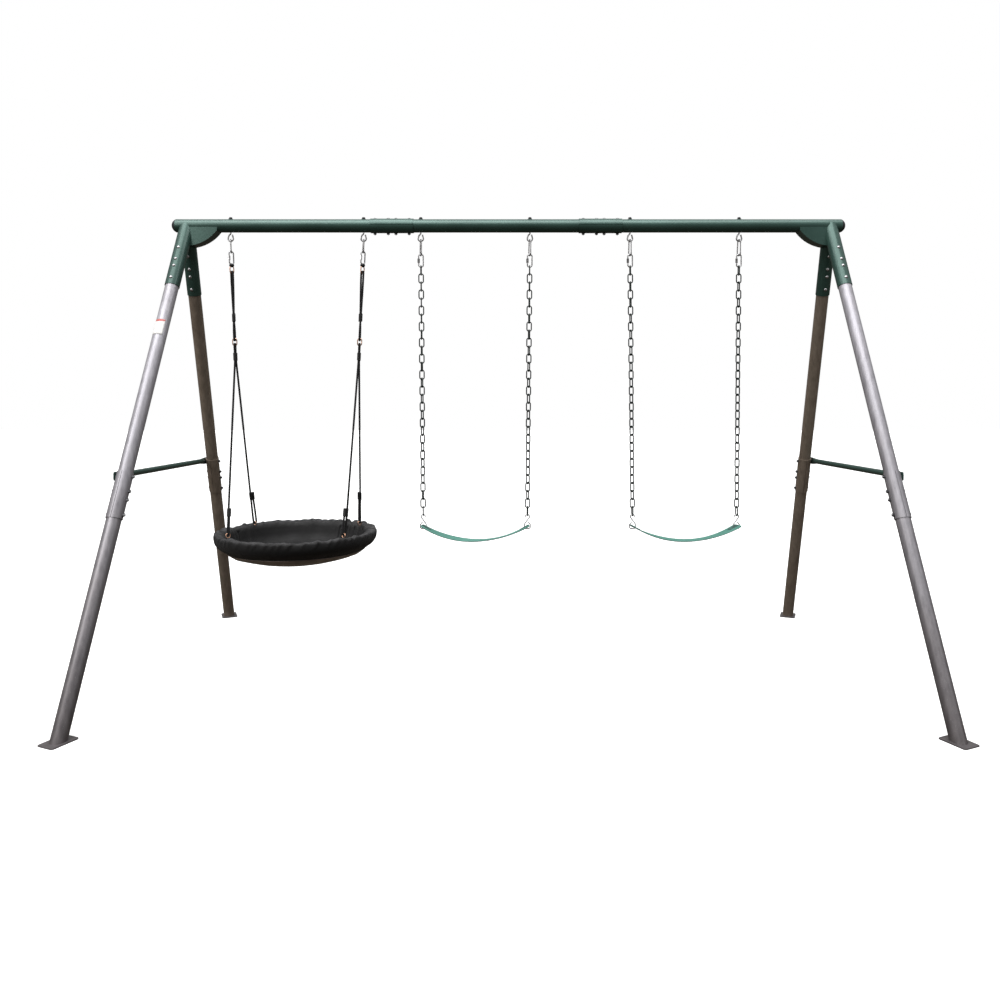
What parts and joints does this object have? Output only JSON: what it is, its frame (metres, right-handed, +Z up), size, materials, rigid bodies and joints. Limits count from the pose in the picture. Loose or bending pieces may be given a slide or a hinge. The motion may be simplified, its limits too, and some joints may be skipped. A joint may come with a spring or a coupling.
{
  "type": "garden swing set",
  "caption": "Steel A-frame garden swing set with a top beam, a padded saucer swing on ropes and flexible belt seats on chains, all free to swing.",
  "frame": {"origin": "on the ground, in the middle of the bounding box, straight under the middle of the top beam", "axes": "+X along the top beam from the saucer swing towards the belt swings, +Y towards the rear legs, +Z up"},
  "size_m": [3.4518, 1.902, 2.1618],
  "materials": {
    "green_enamel": "gloss",
    "silver_enamel": "satin",
    "bronze_enamel": "satin",
    "end_cap_plastic": "satin",
    "bright_zinc": "satin",
    "dark_zinc": "satin",
    "dark_chain": "satin",
    "teal_rubber": "satin",
    "end_plate_plastic": "satin",
    "copper_ring": "satin",
    "black_rope": "matte",
    "adjuster_plastic": "satin",
    "rim_steel": "satin",
    "charcoal_fabric": "matte"
  },
  "bodies": {
    "frame": {"beam_cap_left": "end_cap_plastic", "beam_cap_right": "end_cap_plastic", "beam_centre": "green_enamel", "beam_left": "green_enamel", "beam_right": "green_enamel", "beam_splice_left": "green_enamel", "beam_splice_right": "green_enamel", "crossbar_left": "green_enamel", "crossbar_right": "green_enamel", "end_bracket_left": "green_enamel", "end_bracket_right": "green_enamel", "eye_bolts": "bright_zinc", "eye_nuts": "dark_zinc", "foot_plates": "silver_enamel", "leg_front_left_lower": "silver_enamel", "leg_front_left_sleeve": "silver_enamel", "leg_front_left_upper": "silver_enamel", "leg_front_right_lower": "silver_enamel", "leg_front_right_sleeve": "silver_enamel", "leg_front_right_upper": "silver_enamel", "leg_rear_left_lower": "bronze_enamel", "leg_rear_left_sleeve": "bronze_enamel", "leg_rear_left_upper": "bronze_enamel", "leg_rear_right_lower": "bronze_enamel", "leg_rear_right_sleeve": "bronze_enamel", "leg_rear_right_upper": "bronze_enamel", "sleeve_bolts": "bright_zinc", "sleeve_nuts": "dark_zinc", "socket_bolts": "bright_zinc"},
    "saucer_swing": {"saucer_carabiners": "bright_zinc", "saucer_quick_links": "bright_zinc", "rope_lashings": "black_rope", "rope_rings": "copper_ring", "rope_upper_left": "black_rope", "rope_upper_right": "black_rope", "rope_lower_left": "black_rope", "rope_lower_right": "black_rope", "rope_adjusters": "adjuster_plastic", "rim_rings": "copper_ring", "saucer_rim_tube": "rim_steel", "saucer_rim_pad": "charcoal_fabric", "saucer_bowl": "charcoal_fabric"},
    "belt_a_chains": {"belt_a_carabiners": "bright_zinc", "belt_a_quick_links": "bright_zinc", "belt_a_chains": "dark_chain"},
    "belt_a_seat": {"belt_a_hooks": "bright_zinc", "belt_a_seat": "teal_rubber", "belt_a_end_plates": "end_plate_plastic"},
    "belt_b_chains": {"belt_b_carabiners": "bright_zinc", "belt_b_quick_links": "bright_zinc", "belt_b_chains": "dark_chain"},
    "belt_b_seat": {"belt_b_hooks": "bright_zinc", "belt_b_seat": "teal_rubber", "belt_b_end_plates": "end_plate_plastic"},
    "belt_a_gate_left": {"belt_a_gate_left": "bright_zinc"},
    "belt_a_gate_right": {"belt_a_gate_right": "bright_zinc"},
    "belt_b_gate_left": {"belt_b_gate_left": "bright_zinc"},
    "belt_b_gate_right": {"belt_b_gate_right": "bright_zinc"},
    "saucer_gate_left": {"saucer_gate_left": "bright_zinc"},
    "saucer_gate_right": {"saucer_gate_right": "bright_zinc"}
  },
  "joints": [
    {"name": "saucer_swing_hinge", "type": "hinge", "parent": "frame", "child": "saucer_swing", "pos_m": [-1.0225, 0, 2.046], "axis": [1, 0, 0], "range_deg": [-60, 60]},
    {"name": "belt_a_hinge", "type": "hinge", "parent": "frame", "child": "belt_a_chains", "pos_m": [-0.1605, 0, 2.046], "axis": [1, 0, 0], "range_deg": [-60, 60]},
    {"name": "belt_a_seat_hinge", "type": "hinge", "parent": "belt_a_chains", "child": "belt_a_seat", "pos_m": [-0.1605, 0, 0.724], "axis": [1, 0, 0], "range_deg": [-30, 30]},
    {"name": "belt_b_hinge", "type": "hinge", "parent": "frame", "child": "belt_b_chains", "pos_m": [0.8515, 0, 2.046], "axis": [1, 0, 0], "range_deg": [-60, 60]},
    {"name": "belt_b_seat_hinge", "type": "hinge", "parent": "belt_b_chains", "child": "belt_b_seat", "pos_m": [0.8515, 0, 0.724], "axis": [1, 0, 0], "range_deg": [-30, 30]},
    {"name": "belt_a_gate_left_hinge", "type": "hinge", "parent": "belt_a_chains", "child": "belt_a_gate_left", "pos_m": [-0.42012, -0.01081, 1.99624], "axis": [-0.9397, -0.3419, -0.008], "range_deg": [0, 22], "stiffness_Nm_per_rad": 0.05, "springref_deg": -17.19},
    {"name": "belt_a_gate_right_hinge", "type": "hinge", "parent": "belt_a_chains", "child": "belt_a_gate_right", "pos_m": [0.10698, -0.01081, 1.99617], "axis": [-0.9397, -0.3419, 0.008], "range_deg": [0, 22], "stiffness_Nm_per_rad": 0.05, "springref_deg": -17.19},
    {"name": "belt_b_gate_left_hinge", "type": "hinge", "parent": "belt_b_chains", "child": "belt_b_gate_left", "pos_m": [0.59188, -0.01081, 1.99624], "axis": [-0.9397, -0.3419, -0.008], "range_deg": [0, 22], "stiffness_Nm_per_rad": 0.05, "springref_deg": -17.19},
    {"name": "belt_b_gate_right_hinge", "type": "hinge", "parent": "belt_b_chains", "child": "belt_b_gate_right", "pos_m": [1.11898, -0.01081, 1.99617], "axis": [-0.9397, -0.3419, 0.008], "range_deg": [0, 22], "stiffness_Nm_per_rad": 0.05, "springref_deg": -17.19},
    {"name": "saucer_gate_left_hinge", "type": "hinge", "parent": "saucer_swing", "child": "saucer_gate_left", "pos_m": [-1.33861, -0.01081, 2.00989], "axis": [-0.9389, -0.342, -0.038], "range_deg": [0, 22], "stiffness_Nm_per_rad": 0.05, "springref_deg": -17.19},
    {"name": "saucer_gate_right_hinge", "type": "hinge", "parent": "saucer_swing", "child": "saucer_gate_right", "pos_m": [-0.69852, -0.01081, 2.00957], "axis": [-0.9389, -0.342, 0.038], "range_deg": [0, 22], "stiffness_Nm_per_rad": 0.05, "springref_deg": -17.19}
  ]
}
